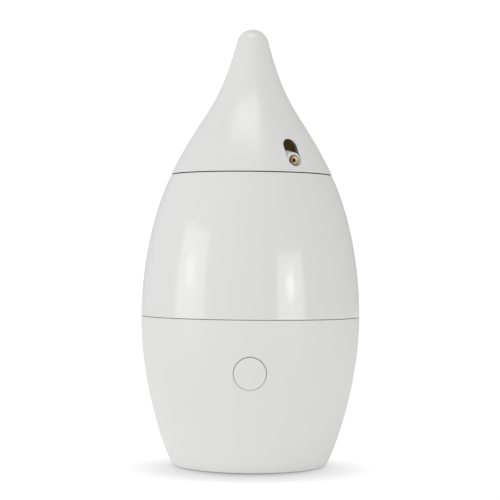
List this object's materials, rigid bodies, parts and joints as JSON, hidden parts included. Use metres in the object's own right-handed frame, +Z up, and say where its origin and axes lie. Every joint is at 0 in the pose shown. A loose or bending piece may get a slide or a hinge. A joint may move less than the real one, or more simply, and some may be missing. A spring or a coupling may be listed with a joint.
{
  "type": "cool mist humidifier",
  "caption": "Free-standing teardrop cool mist humidifier with a base that holds an air pump, a lift-off water tank, a pointed cover with a brass spray nozzle in a side port, and a push button.",
  "frame": {"origin": "centre of the base on the surface it stands on", "axes": "+Z up; the push button faces -Y; the power socket is on +Y"},
  "size_m": [0.1502, 0.1502, 0.3],
  "materials": {
    "satin_white": "satin moulded ABS",
    "gloss_white": "glossy moulded ABS",
    "inner_white": "moulded polypropylene",
    "dark_rubber": "moulded rubber",
    "steel": "zinc plated steel",
    "core_steel": "laminated or sintered iron",
    "brass": "turned",
    "circuit_board": "solder mask",
    "black_plastic": "moulded",
    "copper_winding": "enamelled winding under tape",
    "grey_plastic": "moulded",
    "silicone_hose": "translucent silicone",
    "filter_felt": "felt"
  },
  "bodies": {
    "base": {"base_shell": "satin_white", "bottom_plate": "inner_white", "rubber_feet": "dark_rubber", "bottom_screws": "steel", "intake_filter": "filter_felt", "main_board": "circuit_board", "board_screws": "steel", "capacitors": "black_plastic", "driver_chip": "black_plastic", "lead_connectors": "inner_white", "dc_jack": "black_plastic", "jack_pin": "steel", "pump_frame": "black_plastic", "pump_grommets": "dark_rubber", "pump_screws": "steel", "pump_core": "core_steel", "pump_coil": "copper_winding", "valve_block": "grey_plastic", "bellows": "dark_rubber", "pivot_pin": "steel", "pump_hose": "silicone_hose", "base_deck": "inner_white", "deck_screws": "steel", "spigot_o_ring": "dark_rubber", "reed_switch": "black_plastic", "button_guide": "inner_white", "button_spring": "steel", "switch_body": "black_plastic", "switch_board": "circuit_board", "guide_screws": "steel"},
    "arm": {"swing_arm": "grey_plastic", "arm_magnet": "core_steel"},
    "button": {"button_cap": "satin_white", "switch_plunger": "black_plastic"},
    "tank": {"tank_shell": "gloss_white", "tank_floor": "inner_white", "riser_o_ring": "dark_rubber", "float_clip": "grey_plastic"},
    "float": {"float_ring": "grey_plastic", "float_magnet": "core_steel"},
    "cover": {"cover_shell": "satin_white", "lid_gasket": "dark_rubber", "head_tray": "inner_white", "tray_screws": "steel", "nozzle_holder": "satin_white", "holder_screws": "steel", "nozzle_gasket": "dark_rubber", "nozzle_body": "brass", "liquid_jet": "brass", "nozzle_cap": "brass", "air_elbow": "inner_white", "air_hose": "silicone_hose", "water_hose": "silicone_hose", "dip_tube": "silicone_hose", "dip_strainer": "grey_plastic"}
  },
  "joints": [
    {"name": "button_press", "type": "slide", "parent": "base", "child": "button", "axis": [0, 1, 0], "range_m": [0, 0.001], "stiffness_N_per_m": 400, "springref_m": -0.001, "deforming": ["button_spring"]},
    {"name": "arm_swing", "type": "hinge", "parent": "base", "child": "arm", "pos_m": [-0.023, -0.028, 0.025], "axis": [0, 0, 1], "range_deg": [-3, 3], "stiffness_Nm_per_rad": 0.02, "deforming": ["bellows"]},
    {"name": "tank_lift", "type": "slide", "parent": "base", "child": "tank", "axis": [0, 0, 1], "range_m": [0, 0.06]},
    {"name": "float_rise", "type": "slide", "parent": "tank", "child": "float", "axis": [0, 0, 1], "range_m": [0, 0.01]},
    {"name": "cover_lift", "type": "slide", "parent": "tank", "child": "cover", "axis": [0, 0, 1], "range_m": [0, 0.1]}
  ]
}
